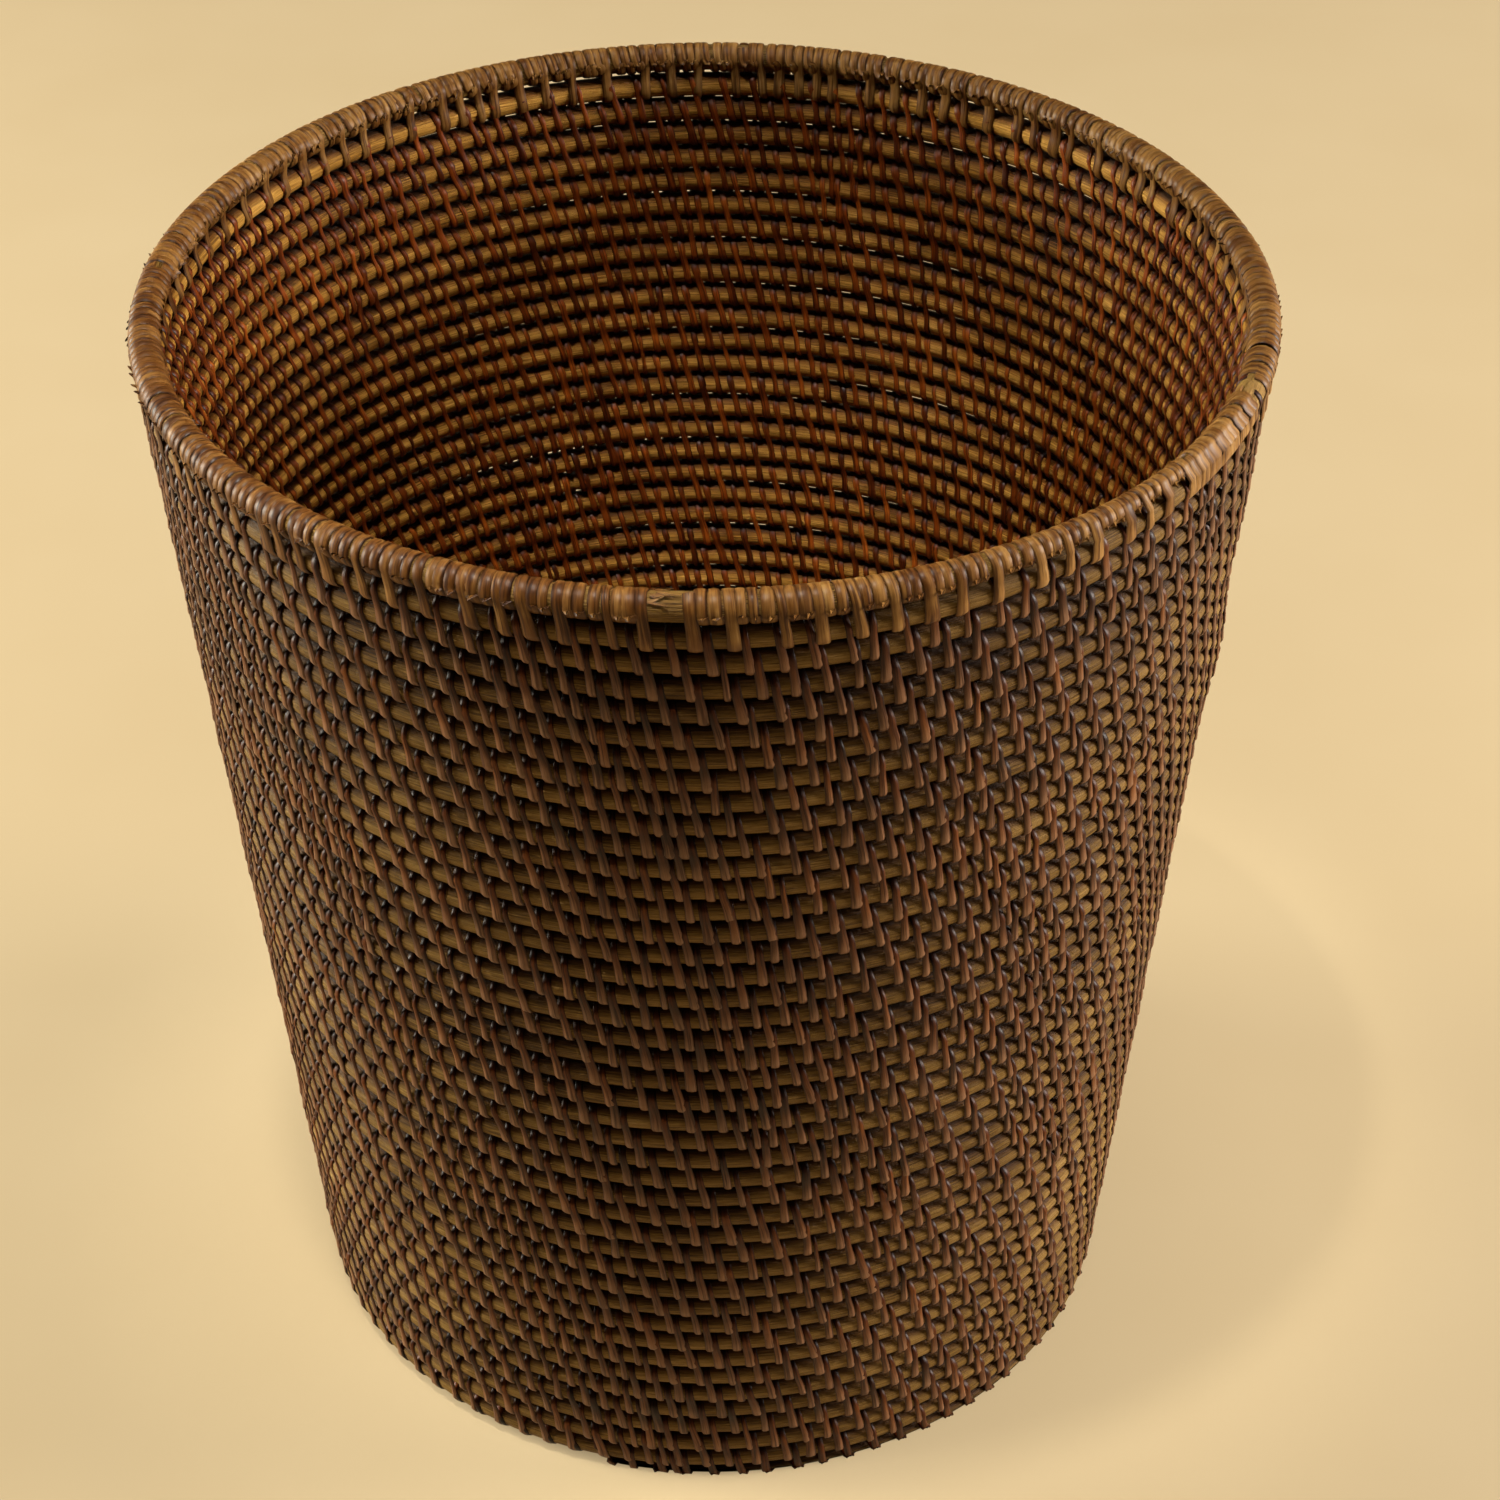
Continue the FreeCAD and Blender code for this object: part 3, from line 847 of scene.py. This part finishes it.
def add_lashing():
    """Wide, uneven wraps that tie down the pared end of the coil."""
    places = np.linspace(rim_turn(LASHING_DEG[0]), rim_turn(LASHING_DEG[1]), LASHING_LOOPS + 1)
    places[1:-1] += rng.normal(0, LASHING_JITTER_TURNS, LASHING_LOOPS - 1)
    mesh = rim_ribbon("scarf_lashing", places, LASHING_WIDTH, np.ones(LASHING_LOOPS))
    add_piece("scarf_lashing", mesh, RIM_BINDER, "rim_binder", "rim_scarf_lashing")


TAIL_FIBRES = 9
TAIL_RINGS = 12
TAIL_FROM_DEG = (264.6, 265.6)
TAIL_LENGTH_TURNS = (0.0016, 0.0058)
TAIL_SPREAD_DEG = (20, 125)
TAIL_TWIST_DEG = (-25, 25)
TAIL_CLEARANCE = 0.3 * MM
TAIL_LIFT_MM = (0.1, 0.9)
TAIL_WIDTH_MM = (0.5, 1.1)
TAIL_TAPER = 0.85
TAIL_THICKNESS = 0.2 * MM
TAIL_TONE = (0.3, 1)


def tail_fibre():
    """One loose fibre, from the torn end of the cane along the bare rod, rising and thinning to its tip."""
    steps = np.linspace(0, 1, TAIL_RINGS)
    turn = rim_turn(rng.uniform(*TAIL_FROM_DEG)) + steps * rng.uniform(*TAIL_LENGTH_TURNS)
    angle = np.radians(rng.uniform(*TAIL_SPREAD_DEG) + steps * rng.uniform(*TAIL_TWIST_DEG))[:, None]
    up = np.array([[0.0, 0.0, 1.0]])
    out = np.cross(along(turn), up)
    spoke = np.cos(angle) * out + np.sin(angle) * up
    rise = (RIM_ROD_RADIUS + TAIL_CLEARANCE + rng.uniform(*TAIL_LIFT_MM) * MM * steps ** 2)[:, None]
    line = wall_centre(turn) + rise * spoke
    side = np.cross(along(turn), spoke)
    widths = rng.uniform(*TAIL_WIDTH_MM) * MM * (1 - TAIL_TAPER * steps)
    rings = strip_rings(line, side, widths, TAIL_THICKNESS)
    none = np.zeros(len(line))
    tone = none + rng.uniform(*TAIL_TONE)
    return strip_mesh("fibre", line, rings, tone=tone, tucked=none, end=none, inside=none)


def add_frayed_tail():
    """The torn end of the left wrap: loose fibres that lie over the bare stretch of the rim's rod."""
    skin = bmesh.new()
    for _ in range(TAIL_FIBRES):
        skin.from_mesh(tail_fibre())
    mesh = bpy.data.meshes.new("frayed_tail")
    skin.to_mesh(mesh)
    skin.free()
    add_piece("frayed_tail", mesh, RIM_BINDER, "rim_binder", "rim_binder_tail")


add_rods()
add_wall_stitches()
add_base_stitches()
add_rim_wraps()
add_lashing()
add_frayed_tail()


# ---- floor, lights and camera -------------------------------------------------------------------
FLOOR_HALF = 6.0
FLOOR_SHADE = 0.28
FLOOR_GLOW = 0.56
GLOW_NONE_R = 0.93 * FOOT_R
GLOW_FULL_R = 1.03 * FOOT_R


def floor_material():
    """A plain warm floor that gives off some light of its own, but none under the basket."""
    m = Nodes("floor")
    mottle = m.noise(m.in_space(), 6.0, detail=3.0)
    colour = m.ramp(mottle, (0.3, linear(226, 199, 152)), (0.7, linear(230, 204, 158)))
    shaded = m.mix("MULTIPLY", 1.0, colour, (FLOOR_SHADE, FLOOR_SHADE, FLOOR_SHADE, 1))
    m.link(shaded, m.shader.inputs["Base Color"])
    m.link(colour, m.shader.inputs["Emission Color"])
    from_middle = m.add("ShaderNodeVectorMath", operation="LENGTH")
    m.link(m.in_space(), from_middle.inputs[0])
    shade = m.ramp(
        from_middle.outputs["Value"],
        (GLOW_NONE_R, (0, 0, 0, 1)),
        (GLOW_FULL_R, (1, 1, 1, 1)),
    )
    m.link(m.scaled(shade, 0.0, FLOOR_GLOW), m.shader.inputs["Emission Strength"])
    m.shader.inputs["Roughness"].default_value = 0.9
    m.shader.inputs["Specular IOR Level"].default_value = 0.1
    return m.material


def add_floor():
    mesh = bpy.data.meshes.new("floor")
    corners = [(x * FLOOR_HALF, y * FLOOR_HALF, 0) for x, y in ((-1, -1), (1, -1), (1, 1), (-1, 1))]
    mesh.from_pydata(corners, [], [(0, 1, 2, 3)])
    mesh.materials.append(floor_material())
    floor = bpy.data.objects.new("floor", mesh)
    bpy.context.scene.collection.objects.link(floor)


def add_light(name, kind, place, power, colour, **settings):
    """A lamp that points at the basket's middle."""
    light = bpy.data.lights.new(name, kind)
    light.energy = power
    light.color = colour
    for key, value in settings.items():
        setattr(light, key, value)
    lamp = bpy.data.objects.new(name, light)
    lamp.location = place
    lamp.rotation_euler = (Vector((0, 0, HEIGHT / 2)) - Vector(place)).to_track_quat("-Z", "Y").to_euler()
    bpy.context.scene.collection.objects.link(lamp)


CAMERA_UP_DEG = 37.2
CAMERA_ROLL_DEG = -0.6
CAMERA_DISTANCE = 6.315 * TOP_RADIUS
SENSOR_MM = 36.0
LENS_MM = 77.9
LENS_SHIFT = (0.0274, 0.0181)


def add_camera():
    """The camera stands in front and looks down at the basket, which is a little off its middle."""
    elevation = math.radians(CAMERA_UP_DEG)
    middle = Vector((0, 0, HEIGHT / 2))
    lens = bpy.data.cameras.new("camera")
    lens.sensor_width = SENSOR_MM
    lens.lens = LENS_MM
    lens.shift_x, lens.shift_y = LENS_SHIFT
    camera = bpy.data.objects.new("camera", lens)
    back = Vector((0, -math.cos(elevation), math.sin(elevation)))
    camera.location = middle + CAMERA_DISTANCE * back
    camera.rotation_euler = (-back).to_track_quat("-Z", "Y").to_euler()
    camera.rotation_euler.rotate_axis("Z", math.radians(CAMERA_ROLL_DEG))
    bpy.context.scene.collection.objects.link(camera)
    bpy.context.scene.camera = camera


def light_scene():
    """Light from above fills the floor, and the floor lights the front. Two lamps stand at the sides, and
    one lights the inside. Each lamp has its place, its power and its colour."""
    add_light("overhead", "SUN", (0, 0.05, 2), 1.05, (1.0, 0.99, 0.97), angle=math.radians(14))
    add_light("right_side", "AREA", (1.5, 0.02, 0.55), 50, (1.0, 0.93, 0.85), shape="DISK", size=0.7)
    add_light("left_side", "AREA", (-1.45, 0.3, 0.5), 52, (1.0, 0.98, 0.84), shape="DISK", size=0.7)
    add_light(
        "into_basket", "SPOT", (-0.12, -0.18, 1.2), 115, (1.0, 0.97, 0.9),
        spot_size=math.radians(15.2), spot_blend=0.3, shadow_soft_size=0.08,
    )
    world = bpy.data.worlds.new("studio")
    world.use_nodes = True
    background = world.node_tree.nodes["Background"]
    background.inputs["Color"].default_value = (1.0, 0.97, 0.93, 1)
    background.inputs["Strength"].default_value = 0.02
    bpy.context.scene.world = world
    bpy.context.scene.view_settings.view_transform = "Standard"


add_floor()
light_scene()
add_camera()
